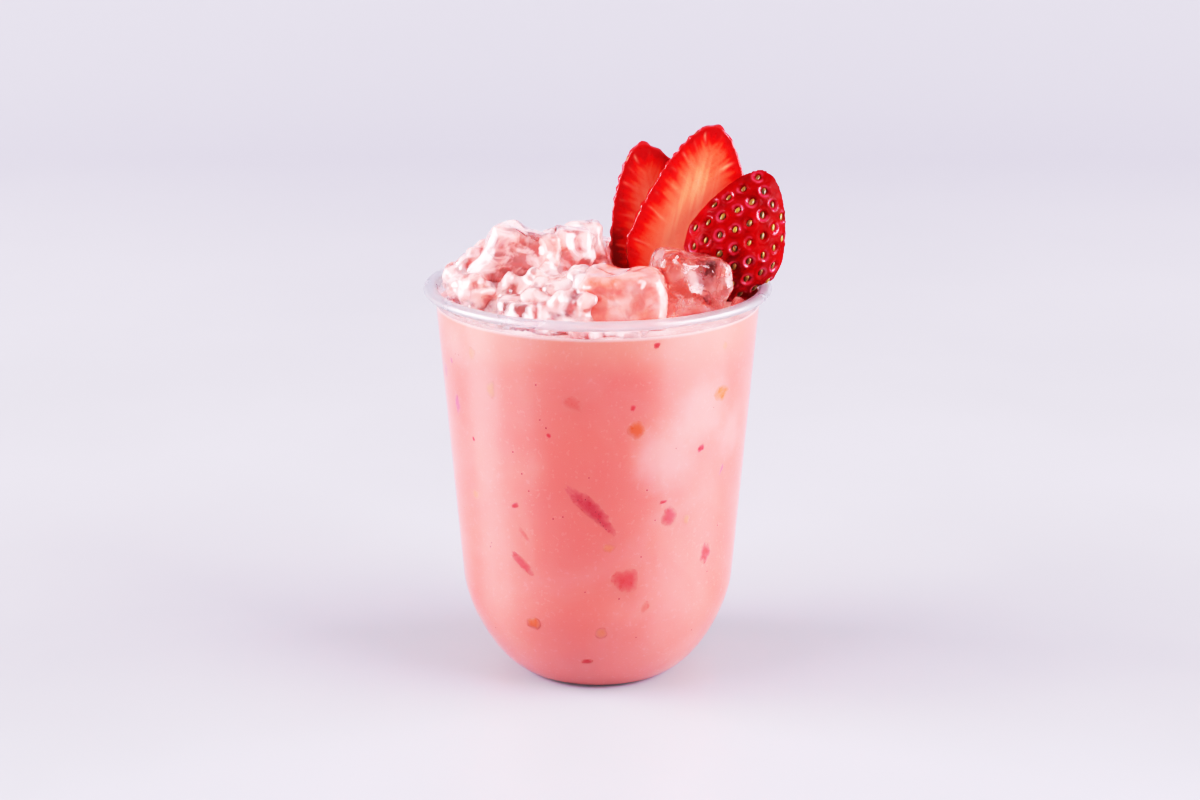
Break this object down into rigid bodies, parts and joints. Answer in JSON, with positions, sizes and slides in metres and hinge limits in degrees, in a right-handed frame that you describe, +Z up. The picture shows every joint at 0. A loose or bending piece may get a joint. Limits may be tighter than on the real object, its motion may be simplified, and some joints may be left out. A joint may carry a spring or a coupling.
{
  "type": "iced drink in a clear cup",
  "caption": "Clear rounded cup filled with pink strawberry milk tea, topped with a heap of ice and fanned strawberry slices.",
  "frame": {"origin": "centre of the cup's flat foot, on the surface it stands on", "axes": "+Z up along the cup's axis; -Y is the front, from which the strawberry slices stand at the right"},
  "size_m": [0.0986, 0.095, 0.152],
  "materials": {
    "clear_plastic": "clear, glossy",
    "milk_tea": "opaque pink milk drink",
    "milky_ice": "wet, milky pink ice",
    "strawberry_flesh": "wet cut fruit",
    "strawberry_skin": "wet, glossy fruit skin"
  },
  "bodies": {
    "root": {"cup": "clear_plastic", "drink": "milk_tea", "ice_front_right": "milky_ice", "ice_right": "milky_ice", "ice_tall": "milky_ice", "ice_left_low": "milky_ice", "ice_front_left": "milky_ice", "ice_front_middle": "milky_ice", "ice_middle": "milky_ice", "ice_back": "milky_ice", "ice_left_high": "milky_ice", "ice_back_left": "milky_ice", "ice_back_middle": "milky_ice", "ice_chip": "milky_ice", "strawberry_left": "strawberry_flesh", "strawberry_middle": "strawberry_flesh", "strawberry_right": "strawberry_skin"}
  },
  "joints": []
}
